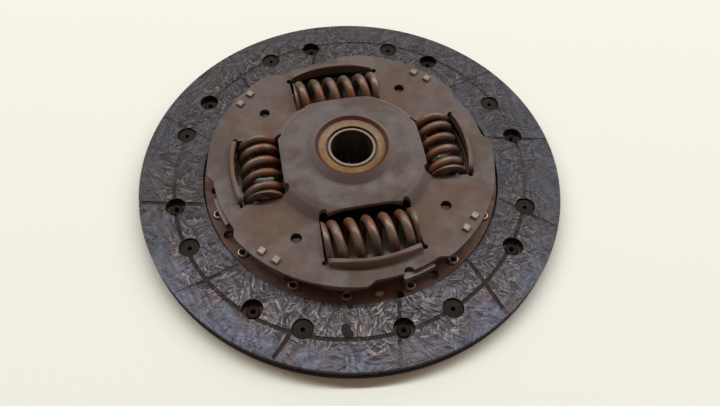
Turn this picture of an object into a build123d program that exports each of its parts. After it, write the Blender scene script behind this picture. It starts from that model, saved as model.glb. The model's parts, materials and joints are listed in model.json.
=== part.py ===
"""Clutch driven plate of a passenger-car dry clutch, with a torsional damper.

Millimetres, +Z up. The origin is on the hub axis, in the rear face of the rear facing, on which the
disc rests. The damper side (cover plate, long end of the hub) points along +Z. Radii build outwards
from the hub and the damper springs to the facings, and heights build up from the rear facing.
"""

from build123d import *

import math
import os

os.makedirs("parts", exist_ok=True)

# --------------------------------------------------------------------------------------
# Driving dimensions
# --------------------------------------------------------------------------------------

# Hub
hub_bore_radius = 10.55
hub_bore_length = 15.9
hub_collar_wall = 1.55
hub_body_radius = 15.5
hub_seat_step = 2.5
hub_shoulder_step = 2.0
hub_shoulder_height = 1.5
hub_seat_proud = 0.9
hub_collar_sunk = 0.8  # below the rim of the front bush
hub_body_proud = 0.6  # below the rear bush
hub_rim_chamfer = 0.5
spline_count = 18
spline_tip_radius = 9.3
spline_space_mouth_half_width = 0.95
spline_space_root_half_width = 0.75

# Bushes and friction washers round the hub
bush_running_clearance = 0.08
front_bush_wall = 4.32
rear_bush_wall = 1.52
bush_hole_clearance = 0.15
bush_flange_step = 2.0  # inside the washers' rim
bush_flange_thickness = 1.5
bush_recess_width = 0.7
bush_recess_depth = 2.2
bush_face_slope = 0.15  # the face dips towards the hub
rear_bush_proud = 0.8
washer_clearance = 0.6
washer_spring_clearance = 3.2
thrust_washer_thickness = 1.2
friction_washer_thickness = 1.6
friction_running_gap = 0.1
cone_washer_sheet = 0.9
cone_washer_step = 2.5  # from the hub's body to the cone's inner edge

# Damper springs, two short and two long: angles of their middles and of their coils
short_spring_angle = 12.9
short_spring_length = 35.6
short_spring_outer_radius = 10.4
short_spring_wire_radius = 2.1
short_spring_axis_radius = 45.8
short_spring_active_turns = 3.8
short_spring_coil_angles = (-108.0, 0.0)
short_window_splay = 5.0
long_spring_angle = 103.9
long_spring_length = 44.4
long_spring_outer_radius = 11.3
long_spring_wire_radius = 2.25
long_spring_axis_radius = 44.8
long_spring_active_turns = 4.6
long_spring_coil_angles = (57.6, 0.0)
long_window_splay = 3.0
spring_closed_turns = 1.0
spring_closed_gap = 0.1
spring_side_clearance = 0.15
spring_end_clearance = 0.15
window_rim_clearance = 0.15
window_corner_relief_radius = 1.4
window_inner_relief_radius = 2.1
lip_thickness = 1.9
lip_height = 4.4
lip_end_height = 3.2
lip_lean = 0.7
lip_foot_bend = 1.8
lip_end_radius = 2.4

# Hub flange
flange_thickness = 4.0
flange_window_clearance = 0.7
flange_rim_width = 3.4
flange_lug_height = 6.4
flange_lug_angle = 13.0
flange_fit_clearance = 0.02
damper_stop_angle = 16.0

# Spacers between the guide plates
spacer_count = 4
spacer_first_angle = 59.05
spacer_flange_clearance = 1.6
spacer_width = 17.0
spacer_thickness = 3.4
spacer_height = 9.7
tenon_spacing = 8.2
tenon_width = 3.4
tenon_proud = 1.5
tenon_chamfer = 0.35
tenon_clearance = 0.05

# Guide plates: cover plate in front, drive plate behind, alike about the damper's middle plane
plate_thickness = 2.2
plate_gap = 4.6  # between the flat parts of the guide plates
dome_rise = 7.0
dome_washer_clearance = 5.0
dome_slope_run = 5.5
dome_bend_radius = 3.6
dome_collar_run = 4.2  # of the conical collar round the front bush
dome_collar_height = 4.8
cover_edge = 2.4  # outside the spacers
cover_cut_away_depth = 2.8
cover_deep_cut_away_depth = 4.4
cover_cut_away_fillet = 3.0
cover_cut_away_lead = 0.4  # outside the rim, where a cut-away's curves start
cover_notch_angle = 295.0
cover_notch_radius = 2.5
pilot_hole_radius = 2.8
pilot_hole_rim_distance = 6.8  # from the long windows' rim in to the holes' circle
pilot_hole_angles = (64.1, 151.0)  # and again half a turn on
drive_rim_edge = 4.2  # outside the foot rivets
drive_rim_hole_radius = 2.5
balance_hole_radius = 2.0
balance_hole_angle = 13.4  # and again at each quarter turn; the last one holds the balance rivet
balance_hole_inset = 0.9  # inside the foot rivets
drive_rim_notch_radius = 2.9
drive_rim_notch_inset = 1.5
drive_rim_notch_angle = 289.9
joggle_clearance = 1.8
joggle_run = 2.0
joggle_bend_radius = 2.5

# Facings: one moulding, used twice, the rear one turned over
facing_width = 32.0
facing_thickness = 3.3
facing_gap = 1.3  # cushioned gap between the two facings
facing_rim_clearance = 0.5
facing_edge_chamfer = 0.3
facing_floor = 1.6  # facing left under a rivet head
facing_hole_radius = 5.05
facing_rivet_inset = 14.5  # from the facing's inner rim
facing_rivet_pairs = 8
facing_pair_angle = 25.9  # middle of the first pair of rivets
facing_pair_half_angle = 7.94

# Grooves in a facing's working face, worn shallow
groove_width = 2.0
groove_depth = 0.35
leaning_groove_count = 12
leaning_groove_start_angle = 14.2
leaning_groove_lean = 5.3  # turn of a leaning groove between the rims
leaning_groove_margin = 0.8
ring_groove_outer_step = 3.1  # furthest and nearest from the rivets' circle
ring_groove_inner_step = 1.1
ring_groove_angle = 70.0

# Cushion segments
segment_sheet = 0.7
segment_rim_inset = 1.5
segment_half_angle = 20.6
segment_corner_radius = 4.0
segment_slope_half_width = 5.5
foot_rivet_step = 2.9  # from the spacers' circle
foot_rivet_half_angle = 10.25
foot_inner_edge = 3.8  # inside the foot rivets
foot_lap = 1.7  # under the facings
foot_offset_angle = 9.85  # middle of the foot from the middle of the paddle
foot_half_angle = 15.5
neck_half_angle = 12.0
neck_length = 1.2

# Rivets of the facings
rivet_shank_radius = 2.0
rivet_bore_radius = 1.1
rivet_clearance = 0.1
rivet_head_radius = 4.6
rivet_head_thickness = 0.7
rivet_tail_radius = 3.3
rivet_tail_height = 1.1
rivet_roll_start = 0.4  # of the tail's height; rolled from here to its end

# Rivets of the segment feet, and the one that balances the disc
foot_rivet_shank_radius = 1.8
foot_rivet_bore_radius = 1.2
foot_rivet_head_radius = 3.0
foot_rivet_head_thickness = 0.7
foot_rivet_tail_radius = 2.8
foot_rivet_tail_height = 1.3
balance_rivet_head_radius = 2.4
balance_rivet_head_height = 1.3

# --------------------------------------------------------------------------------------
# Radii that follow, outwards from the hub
# --------------------------------------------------------------------------------------


class SpringSize:
    """One size of damper spring, with its window in the plates."""

    def __init__(self, length, outer_radius, wire_radius, axis_radius, active_turns, splay):
        self.half_length = length / 2
        self.outer_radius = outer_radius
        self.wire_radius = wire_radius
        self.axis_radius = axis_radius
        self.active_turns = active_turns
        self.splay = math.tan(math.radians(splay))
        self.inner_x = axis_radius - outer_radius - spring_side_clearance
        self.outer_x = axis_radius + outer_radius
        self.inner_half_length = self.half_length + spring_end_clearance
        self.outer_half_length = self.inner_half_length + (self.outer_x - self.inner_x) * self.splay
        self.rim_radius = math.hypot(self.outer_x, self.half_length) + window_rim_clearance

    def corner_x(self, rim_radius):
        """Where the window's ends meet its outer arc."""
        return math.sqrt(rim_radius**2 - self.outer_half_length**2)


short_spring = SpringSize(
    short_spring_length,
    short_spring_outer_radius,
    short_spring_wire_radius,
    short_spring_axis_radius,
    short_spring_active_turns,
    short_window_splay,
)
long_spring = SpringSize(
    long_spring_length,
    long_spring_outer_radius,
    long_spring_wire_radius,
    long_spring_axis_radius,
    long_spring_active_turns,
    long_window_splay,
)
spring_places = (
    (short_spring, short_spring_angle, short_spring_coil_angles[0]),
    (long_spring, long_spring_angle, long_spring_coil_angles[0]),
    (short_spring, short_spring_angle + 180, short_spring_coil_angles[1]),
    (long_spring, long_spring_angle + 180, long_spring_coil_angles[1]),
)
window_inner_distance = min(short_spring.inner_x, long_spring.inner_x)
window_rim_radius = max(short_spring.rim_radius, long_spring.rim_radius)

hub_collar_radius = hub_bore_radius + hub_collar_wall
hub_seat_radius = hub_body_radius + hub_seat_step
hub_shoulder_radius = hub_seat_radius + hub_shoulder_step
front_bush_radius = hub_collar_radius + bush_running_clearance + front_bush_wall
rear_bush_radius = hub_body_radius + bush_running_clearance + rear_bush_wall
washer_outer_radius = window_inner_distance - washer_spring_clearance
bush_flange_radius = washer_outer_radius - bush_flange_step
cone_washer_inner_radius = hub_body_radius + cone_washer_step

cover_hole_radius = front_bush_radius + bush_hole_clearance
drive_hole_radius = rear_bush_radius + bush_hole_clearance
dome_collar_radius = cover_hole_radius + dome_collar_run
dome_top_radius = washer_outer_radius + dome_washer_clearance
dome_foot_radius = dome_top_radius + dome_slope_run
pilot_hole_circle_radius = window_rim_radius - pilot_hole_rim_distance

flange_radius = window_rim_radius + flange_window_clearance + flange_rim_width
flange_lug_radius = flange_radius + flange_lug_height
spacer_inner_radius = flange_radius + spacer_flange_clearance
spacer_circle_radius = spacer_inner_radius + spacer_thickness / 2
cover_radius = spacer_inner_radius + spacer_thickness + cover_edge
cover_notch_circle_radius = cover_radius - cover_cut_away_depth
joggle_foot_radius = spacer_inner_radius - joggle_clearance
joggle_top_radius = joggle_foot_radius - joggle_run
foot_rivet_circle_radius = spacer_circle_radius + foot_rivet_step
balance_hole_circle_radius = foot_rivet_circle_radius - balance_hole_inset
drive_rim_radius = foot_rivet_circle_radius + drive_rim_edge

facing_inner_radius = drive_rim_radius + facing_rim_clearance
facing_outer_radius = facing_inner_radius + facing_width
facing_rivet_circle_radius = facing_inner_radius + facing_rivet_inset
segment_outer_radius = facing_outer_radius - segment_rim_inset
foot_inner_radius = foot_rivet_circle_radius - foot_inner_edge
neck_radius = facing_inner_radius + foot_lap
paddle_radius = neck_radius + neck_length
disc_diameter = 2 * facing_outer_radius  # longer than any cut through a piece

# --------------------------------------------------------------------------------------
# Heights that follow, up from the rear facing
# --------------------------------------------------------------------------------------

front_facing_z = facing_thickness + facing_gap
disc_front_z = front_facing_z + facing_thickness
gap_middle_z = facing_thickness + facing_gap / 2
foot_z = gap_middle_z - segment_sheet / 2
drive_rim_z = foot_z + segment_sheet
spacer_z = drive_rim_z + plate_thickness

cover_flat_z = spacer_z + spacer_height
cover_front_z = cover_flat_z + plate_thickness
cover_dome_z = cover_flat_z + dome_rise
dome_collar_z = cover_dome_z + dome_collar_height
damper_middle_z = cover_flat_z - plate_gap / 2
drive_flat_z = damper_middle_z - plate_gap / 2
drive_dome_z = drive_flat_z - dome_rise

flange_bottom_z = damper_middle_z - flange_thickness / 2
flange_top_z = damper_middle_z + flange_thickness / 2
front_bush_z = cover_dome_z - bush_flange_thickness
front_thrust_z = front_bush_z - thrust_washer_thickness
front_friction_z = flange_top_z + friction_running_gap
front_friction_top_z = front_friction_z + friction_washer_thickness
rear_bush_z = drive_dome_z + bush_flange_thickness
rear_bush_end_z = drive_dome_z - plate_thickness - rear_bush_proud
rear_thrust_z = rear_bush_z + thrust_washer_thickness
rear_friction_z = flange_bottom_z - friction_running_gap - friction_washer_thickness

hub_top_z = dome_collar_z - hub_collar_sunk
hub_bottom_z = rear_bush_end_z - hub_body_proud
hub_seat_top_z = flange_top_z + hub_seat_proud
hub_shoulder_z = flange_bottom_z - hub_shoulder_height
spline_top_z = hub_top_z - hub_bore_length

# Angles that follow
pair_pitch_angle = 360 / facing_rivet_pairs
head_angle = facing_pair_angle + facing_pair_half_angle
tail_angle = facing_pair_angle - facing_pair_half_angle
foot_angle = facing_pair_angle + foot_offset_angle
spacer_half_angle = math.degrees(math.asin(spacer_width / 2 / spacer_inner_radius))
lug_start = spacer_half_angle + damper_stop_angle
lug_end = lug_start + flange_lug_angle
cover_cut_aways = (  # where each leaves the rim, its floor's ends, where it meets the rim, depth
    (10.0, 15.5, 40.5, 46.0, cover_cut_away_depth),
    (80.0, 107.0, 127.0, 139.0, cover_deep_cut_away_depth),
    (190.0, 195.5, 220.5, 226.0, cover_cut_away_depth),
    (276.0, 281.5, 309.0, 314.5, cover_cut_away_depth),
)


# --------------------------------------------------------------------------------------
# Outlines and simple solids
# --------------------------------------------------------------------------------------


def polar(radius, angle):
    """The point at a radius and an angle in degrees."""
    return (radius * math.cos(math.radians(angle)), radius * math.sin(math.radians(angle)))


def sector(inner_radius, outer_radius, start, end):
    """A sector of a ring, its ends along radii."""
    with BuildSketch() as outline:
        with BuildLine():
            inner = CenterArc((0, 0), inner_radius, start, end - start)
            outer = CenterArc((0, 0), outer_radius, start, end - start)
            Line(inner @ 0, outer @ 0)
            Line(inner @ 1, outer @ 1)
        make_face()
    return outline.sketch


def turned(*corners):
    """A solid of revolution about Z from the (radius, z) corners of its half section."""
    with BuildPart() as solid:
        with BuildSketch(Plane.XZ):
            with BuildLine():
                Polyline(*corners, close=True)
            make_face()
        revolve(axis=Axis.Z)
    return solid.part


def flat_washer(inner_radius, outer_radius, bottom_z, thickness):
    """A flat ring."""
    with BuildPart() as ring:
        with BuildSketch(Plane.XY.offset(bottom_z)):
            Circle(outer_radius)
            Circle(inner_radius, mode=Mode.SUBTRACT)
        extrude(amount=thickness)
    return ring.part


def tubular_rivet(grip_bottom_z, grip_top_z, shank, bore, head, head_thickness, tail, tail_height):
    """A tubular rivet on the Z axis: flat head on top of the grip, rolled tail under it."""
    head_z = grip_top_z + head_thickness
    tail_z = grip_bottom_z - tail_height
    roll_z = grip_bottom_z - rivet_roll_start * tail_height
    with BuildPart() as rivet:
        with BuildSketch(Plane.XZ):
            with BuildLine():
                sides = Polyline(
                    (tail, roll_z),
                    (tail, grip_bottom_z),
                    (shank, grip_bottom_z),
                    (shank, grip_top_z),
                    (head, grip_top_z),
                    (head, head_z),
                    (bore, head_z),
                    (bore, roll_z),
                )
                ThreePointArc(sides @ 1, ((bore + tail) / 2, tail_z), sides @ 0)
            make_face()
        revolve(axis=Axis.Z)
    return rivet.part


def turned_over(part):
    """A piece of the front facing's side turned over to the rear, about the first segment's middle."""
    middle_line = Axis((0, 0, gap_middle_z), polar(1, facing_pair_angle) + (0,))
    return part.rotate(middle_line, 180)


def half_turns(angles):
    """Each angle, and the same angle half a turn on."""
    return [angle + turn for angle in angles for turn in (0, 180)]


# --------------------------------------------------------------------------------------
# Facings and their rivets
# --------------------------------------------------------------------------------------

groove_start_radius = facing_outer_radius - leaning_groove_margin
groove_end_radius = facing_inner_radius + leaning_groove_margin
groove_start = Vector(*polar(groove_start_radius, leaning_groove_start_angle))
groove_end = Vector(*polar(groove_end_radius, leaning_groove_start_angle + leaning_groove_lean))
groove_run = groove_start - groove_end
groove_middle = (groove_start + groove_end) / 2
groove_middle_angle = math.degrees(math.atan2(groove_middle.Y, groove_middle.X))
groove_run_angle = math.degrees(math.atan2(groove_run.Y, groove_run.X))

with BuildPart() as front_facing:
    with BuildSketch(Plane.XY.offset(front_facing_z)):
        Circle(facing_outer_radius)
        Circle(facing_inner_radius, mode=Mode.SUBTRACT)
        with PolarLocations(facing_rivet_circle_radius, facing_rivet_pairs, tail_angle):
            Circle(facing_hole_radius, mode=Mode.SUBTRACT)
        with PolarLocations(facing_rivet_circle_radius, facing_rivet_pairs, head_angle):
            Circle(rivet_shank_radius + rivet_clearance, mode=Mode.SUBTRACT)
    extrude(amount=facing_thickness)
    rims = front_facing.edges().filter_by(GeomType.CIRCLE).group_by(Axis.Z)[-1]
    chamfer(rims.filter_by(lambda edge: edge.radius >= facing_inner_radius), facing_edge_chamfer)
    with BuildSketch(Plane.XY.offset(front_facing_z + facing_floor)):
        with PolarLocations(facing_rivet_circle_radius, facing_rivet_pairs, head_angle):
            Circle(facing_hole_radius)
    extrude(amount=facing_thickness, mode=Mode.SUBTRACT)
    with BuildSketch(Plane.XY.offset(disc_front_z)):
        for side, mode in ((1, Mode.ADD), (-1, Mode.SUBTRACT)):
            Ellipse(
                facing_rivet_circle_radius + ring_groove_outer_step + side * groove_width / 2,
                facing_rivet_circle_radius - ring_groove_inner_step + side * groove_width / 2,
                ring_groove_angle,
                mode=mode,
            )
        with PolarLocations(groove_middle.length, leaning_groove_count, groove_middle_angle):
            Rectangle(groove_run.length, groove_width, groove_run_angle - groove_middle_angle)
    extrude(amount=-groove_depth, mode=Mode.SUBTRACT)
front_facing.part.label = "front_facing"

with BuildPart() as rear_facing:
    add(turned_over(front_facing.part))
rear_facing.part.label = "rear_facing"

facing_rivet = tubular_rivet(
    front_facing_z - segment_sheet,
    front_facing_z + facing_floor,
    rivet_shank_radius,
    rivet_bore_radius,
    rivet_head_radius,
    rivet_head_thickness,
    rivet_tail_radius,
    rivet_tail_height,
)

with BuildPart() as front_facing_rivets:
    with PolarLocations(facing_rivet_circle_radius, facing_rivet_pairs, head_angle):
        add(facing_rivet)
front_facing_rivets.part.label = "front_facing_rivets"

with BuildPart() as rear_facing_rivets:
    add(turned_over(front_facing_rivets.part))
rear_facing_rivets.part.label = "rear_facing_rivets"

# --------------------------------------------------------------------------------------
# Cushion segments: paddles that touch the two facings by turns, on flat feet
# --------------------------------------------------------------------------------------

foot_start = foot_offset_angle - foot_half_angle
foot_end = foot_offset_angle + foot_half_angle

with BuildSketch() as paddle_outline:
    add(sector(paddle_radius, segment_outer_radius, -segment_half_angle, segment_half_angle))
    rim_corners = paddle_outline.vertices().group_by(lambda corner: corner.center().length)[-1]
    fillet(rim_corners, segment_corner_radius)
    neck_start = foot_offset_angle - neck_half_angle
    neck_end = foot_offset_angle + neck_half_angle
    add(sector(neck_radius - neck_length, paddle_radius + neck_length, neck_start, neck_end))
    for angle in (-facing_pair_half_angle, facing_pair_half_angle):
        with Locations(polar(facing_rivet_circle_radius, angle)):
            Circle(rivet_shank_radius + rivet_clearance, mode=Mode.SUBTRACT)

with BuildSketch() as foot_outline:
    add(sector(foot_inner_radius, neck_radius, foot_start, foot_end))
    for angle in (-foot_rivet_half_angle, foot_rivet_half_angle):
        with Locations(polar(foot_rivet_circle_radius, foot_offset_angle + angle)):
            Circle(foot_rivet_shank_radius + rivet_clearance, mode=Mode.SUBTRACT)
    with Locations(polar(foot_rivet_circle_radius, foot_offset_angle)):
        Circle(drive_rim_hole_radius, mode=Mode.SUBTRACT)

with BuildPart() as segment_blank:
    with BuildSketch(Plane.YZ):
        with BuildLine():
            Polyline(
                (-facing_inner_radius, facing_thickness),
                (-segment_slope_half_width, facing_thickness),
                (segment_slope_half_width, front_facing_z - segment_sheet),
                (facing_inner_radius, front_facing_z - segment_sheet),
            )
            offset(amount=segment_sheet, side=Side.LEFT)
        make_face()
    extrude(amount=facing_outer_radius)
    extrude(to_extrude=paddle_outline.sketch, amount=front_facing_z, mode=Mode.INTERSECT)
    with BuildSketch(Plane.XY.offset(foot_z)):
        add(foot_outline.sketch)
    extrude(amount=segment_sheet)

cushion_segments = []
for count in range(facing_rivet_pairs):
    with BuildPart() as cushion_segment:
        add(segment_blank.part.rotate(Axis.Z, facing_pair_angle + count * pair_pitch_angle))
    cushion_segment.part.label = f"cushion_segment_{count + 1}"
    cushion_segments.append(cushion_segment.part)

foot_rivet = tubular_rivet(
    -spacer_z,
    -foot_z,
    foot_rivet_shank_radius,
    foot_rivet_bore_radius,
    foot_rivet_head_radius,
    foot_rivet_head_thickness,
    foot_rivet_tail_radius,
    foot_rivet_tail_height,
).rotate(Axis.X, 180)

with BuildPart() as segment_rivets:
    for angle in (-foot_rivet_half_angle, foot_rivet_half_angle):
        with PolarLocations(foot_rivet_circle_radius, facing_rivet_pairs, foot_angle + angle):
            add(foot_rivet)
segment_rivets.part.label = "segment_rivets"

with BuildPart() as balance_blank:
    with BuildSketch(Plane.XZ):
        with BuildLine():
            sides = Polyline(
                (0, spacer_z + balance_rivet_head_height),
                (0, foot_z),
                (balance_rivet_head_radius, foot_z),
                (balance_rivet_head_radius, drive_rim_z),
                (balance_hole_radius - rivet_clearance, drive_rim_z),
                (balance_hole_radius - rivet_clearance, spacer_z),
                (balance_rivet_head_radius, spacer_z),
            )
            TangentArc(sides @ 0, sides @ 1, tangent=(1, 0))
        make_face()
    revolve(axis=Axis.Z)

with BuildPart() as balance_rivet:
    with Locations(polar(balance_hole_circle_radius, balance_hole_angle - 90)):
        add(balance_blank.part)
balance_rivet.part.label = "balance_rivet"

# --------------------------------------------------------------------------------------
# Damper springs and the windows that hold them
# --------------------------------------------------------------------------------------


def window(size, clearance=0.0):
    """A spring window on the +X side: straight inside, arched outside."""
    rim = size.rim_radius + clearance
    corner_x = size.corner_x(rim)
    with BuildSketch() as outline:
        with BuildLine():
            sides = Polyline(
                (corner_x, -size.outer_half_length),
                (size.inner_x, -size.inner_half_length),
                (size.inner_x, size.inner_half_length),
                (corner_x, size.outer_half_length),
            )
            ThreePointArc(sides @ 1, (rim, 0), sides @ 0)
        make_face()
    return outline.sketch


def relieved_window(size):
    """A guide plate's window, with round reliefs in its corners."""
    relief_x = size.corner_x(size.rim_radius) + lip_thickness / 2
    corner_y = size.outer_half_length
    inner_y = size.inner_half_length - window_inner_relief_radius
    with BuildSketch() as outline:
        add(window(size))
        with Locations((relief_x, -corner_y), (relief_x, corner_y)):
            Circle(window_corner_relief_radius)
        with Locations((size.inner_x, -inner_y), (size.inner_x, inner_y)):
            Circle(window_inner_relief_radius)
    return outline.sketch


def window_lip(size):
    """The lip bent up along a cover plate window's outer edge, arched in height, on the +X side."""
    rim = size.rim_radius
    half_chord = size.outer_half_length - window_corner_relief_radius
    half_angle = math.degrees(math.asin(half_chord / rim))
    foot = rim + lip_thickness + lip_foot_bend
    knee = lip_foot_bend / 4
    middle_z = cover_flat_z + plate_thickness / 2
    top_z = cover_front_z + lip_height
    shoulder_z = top_z - lip_lean / 2
    with BuildPart() as wall:
        with BuildSketch(Plane.XZ):
            with BuildLine():
                inside = Polyline(
                    (foot, cover_front_z),
                    (foot, middle_z),
                    (rim, middle_z),
                    (rim, cover_front_z),
                    (rim - lip_lean, shoulder_z),
                )
                outside = Polyline(
                    (rim - lip_lean + lip_thickness, shoulder_z),
                    (rim + lip_thickness, cover_front_z + lip_foot_bend),
                    (rim + lip_thickness + knee, cover_front_z + knee),
                    (foot, cover_front_z),
                )
                ThreePointArc(inside @ 1, (rim - lip_lean + lip_thickness / 2, top_z), outside @ 0)
            make_face()
        revolve(axis=Axis.Z, revolution_arc=2 * half_angle)
    with BuildPart() as lip:
        add(wall.part.rotate(Axis.Z, -half_angle))
        with BuildSketch(Plane.YZ) as arch:
            with BuildLine():
                sides = Polyline(
                    (-half_chord, cover_front_z + lip_end_height),
                    (-half_chord, middle_z),
                    (half_chord, middle_z),
                    (half_chord, cover_front_z + lip_end_height),
                )
                ThreePointArc(sides @ 1, (0, top_z + lip_lean / 2), sides @ 0)
            make_face()
            fillet(arch.vertices().group_by(Axis.Y)[-1], lip_end_radius)
        extrude(amount=disc_diameter, mode=Mode.INTERSECT)
    return lip.part


def damper_spring(size):
    """A closed and ground helical spring of round wire, along Y on the +X side."""
    coil_radius = size.outer_radius - size.wire_radius
    tip = size.half_length + size.wire_radius / 2  # half of the tip's wire is ground away
    closed_pitch = 2 * size.wire_radius + spring_closed_gap
    closed_length = spring_closed_turns * closed_pitch
    active_length = 2 * (tip - closed_length)
    active_pitch = active_length / size.active_turns
    active_angle = 360 * spring_closed_turns
    last_angle = 360 * (spring_closed_turns + size.active_turns)
    first = Helix(closed_pitch, closed_length, coil_radius, center=(0, 0, -tip))
    active = Helix(active_pitch, active_length, coil_radius, center=(0, 0, -active_length / 2))
    last = Helix(closed_pitch, closed_length, coil_radius, center=(0, 0, active_length / 2))
    with BuildPart() as coil:
        with BuildLine() as wire_path:
            add(first)
            add(active.rotate(Axis.Z, active_angle))
            add(last.rotate(Axis.Z, last_angle))
        with BuildSketch(Plane(first @ 0, z_dir=first % 0)):
            Circle(size.wire_radius)
        sweep(path=wire_path.line, is_frenet=True)
        Cylinder(2 * size.outer_radius, 2 * size.half_length, mode=Mode.INTERSECT)
    return coil.part


springs = []
for count, (size, angle, coil_angle) in enumerate(spring_places):
    axis_place = Location((size.axis_radius, 0, damper_middle_z), (90, 0, 0))
    with BuildPart() as spring:
        add(damper_spring(size).rotate(Axis.Z, coil_angle).moved(axis_place).rotate(Axis.Z, angle))
    spring.part.label = f"spring_{count + 1}"
    springs.append(spring.part)

with BuildSketch() as plate_windows:
    for size, angle, _ in spring_places:
        add(relieved_window(size).rotate(Axis.Z, angle))

with BuildSketch() as flange_windows:
    for size, angle, _ in spring_places:
        add(window(size, flange_window_clearance).rotate(Axis.Z, angle))

# --------------------------------------------------------------------------------------
# Spacers and guide plates
# --------------------------------------------------------------------------------------


def tenon_outline(clearance=0.0):
    """The tenons of all the spacers in plan."""
    with BuildSketch() as outline:
        with PolarLocations(spacer_circle_radius, spacer_count, spacer_first_angle):
            with GridLocations(0, tenon_spacing, 1, 2):
                Rectangle(spacer_thickness + 2 * clearance, tenon_width + 2 * clearance)
    return outline.sketch


tenon_holes = tenon_outline(tenon_clearance)

with BuildPart() as spacer_blank:
    with BuildSketch(Plane.XY.offset(spacer_z)):
        with Locations((spacer_circle_radius, 0)):
            Rectangle(spacer_thickness, spacer_width)
    extrude(amount=cover_flat_z - spacer_z)
    with BuildSketch(Plane.XY.offset(drive_rim_z)):
        with Locations((spacer_circle_radius, 0)):
            with GridLocations(0, tenon_spacing, 1, 2):
                Rectangle(spacer_thickness, tenon_width)
    extrude(amount=cover_front_z + tenon_proud - drive_rim_z)
    chamfer(spacer_blank.faces().group_by(Axis.Z)[-1].edges(), tenon_chamfer)

spacers = []
for count in range(spacer_count):
    with BuildPart() as spacer:
        add(spacer_blank.part.rotate(Axis.Z, spacer_first_angle + count * 360 / spacer_count))
    spacer.part.label = f"spacer_{count + 1}"
    spacers.append(spacer.part)


def cut_away(start, floor_start, floor_end, end, depth):
    """A shallow bite out of the cover plate's rim, which it leaves smoothly at both ends."""
    lead_radius = cover_radius + cover_cut_away_lead
    with BuildSketch() as bite:
        with BuildLine():
            floor = CenterArc((0, 0), cover_radius - depth, floor_start, floor_end - floor_start)
            outside = CenterArc((0, 0), cover_radius + depth, start, end - start)
            TangentArc(polar(lead_radius, start), floor @ 0, tangent=polar(1, start + 90))
            TangentArc(polar(lead_radius, end), floor @ 1, tangent=polar(1, end - 90))
            Line(polar(lead_radius, start), outside @ 0)
            Line(polar(lead_radius, end), outside @ 1)
        make_face()
        floor_corners = bite.vertices().group_by(lambda corner: corner.center().length)[0]
        fillet(floor_corners, cover_cut_away_fillet)
    return bite.sketch


with BuildSketch() as cover_trim:
    for span in cover_cut_aways:
        add(cut_away(*span))
    with PolarLocations(cover_notch_circle_radius, 2, cover_notch_angle):
        Circle(cover_notch_radius)
    for angle in half_turns(pilot_hole_angles):
        with Locations(polar(pilot_hole_circle_radius, angle)):
            Circle(pilot_hole_radius)

with BuildPart() as cover_plate:
    with BuildSketch(Plane.XZ):
        with BuildLine():
            FilletPolyline(
                (cover_hole_radius, dome_collar_z),
                (dome_collar_radius, cover_dome_z),
                (dome_top_radius, cover_dome_z),
                (dome_foot_radius, cover_flat_z),
                (cover_radius, cover_flat_z),
                radius=dome_bend_radius,
            )
            offset(amount=plate_thickness, side=Side.LEFT)
        make_face()
    revolve(axis=Axis.Z)
    extrude(to_extrude=cover_trim.sketch, amount=hub_top_z, mode=Mode.SUBTRACT)
    extrude(to_extrude=tenon_holes, amount=hub_top_z, mode=Mode.SUBTRACT)
    extrude(to_extrude=plate_windows.sketch, amount=hub_top_z, mode=Mode.SUBTRACT)
    for size, angle, _ in spring_places:
        add(window_lip(size).rotate(Axis.Z, angle))
cover_plate.part.label = "cover_plate"

with BuildPart() as drive_plate:
    with BuildSketch(Plane.XZ):
        with BuildLine():
            FilletPolyline(
                (drive_hole_radius, drive_dome_z),
                (dome_top_radius, drive_dome_z),
                (dome_foot_radius, drive_flat_z),
                (pilot_hole_circle_radius, drive_flat_z),
                radius=dome_bend_radius,
            )
            FilletPolyline(
                (pilot_hole_circle_radius, drive_flat_z),
                (joggle_top_radius, drive_flat_z),
                (joggle_foot_radius, spacer_z),
                (drive_rim_radius, spacer_z),
                radius=joggle_bend_radius,
            )
            offset(amount=plate_thickness, side=Side.RIGHT)
        make_face()
    revolve(axis=Axis.Z)
    with BuildSketch():
        with PolarLocations(foot_rivet_circle_radius, spacer_count, foot_angle):
            Circle(drive_rim_hole_radius)
        with PolarLocations(balance_hole_circle_radius, spacer_count, balance_hole_angle):
            Circle(balance_hole_radius)
        with Locations(polar(drive_rim_radius - drive_rim_notch_inset, drive_rim_notch_angle)):
            Circle(drive_rim_notch_radius)
        for angle in (-foot_rivet_half_angle, foot_rivet_half_angle):
            with PolarLocations(foot_rivet_circle_radius, facing_rivet_pairs, foot_angle + angle):
                Circle(foot_rivet_shank_radius + rivet_clearance)
        for angle in half_turns(pilot_hole_angles):
            with Locations(polar(pilot_hole_circle_radius, angle)):
                Circle(pilot_hole_radius)
    extrude(amount=hub_top_z, mode=Mode.SUBTRACT)
    extrude(to_extrude=tenon_holes, amount=hub_top_z, mode=Mode.SUBTRACT)
    extrude(to_extrude=plate_windows.sketch, amount=hub_top_z, mode=Mode.SUBTRACT)
drive_plate.part.label = "drive_plate"

# --------------------------------------------------------------------------------------
# Hub and hub flange
# --------------------------------------------------------------------------------------

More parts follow.
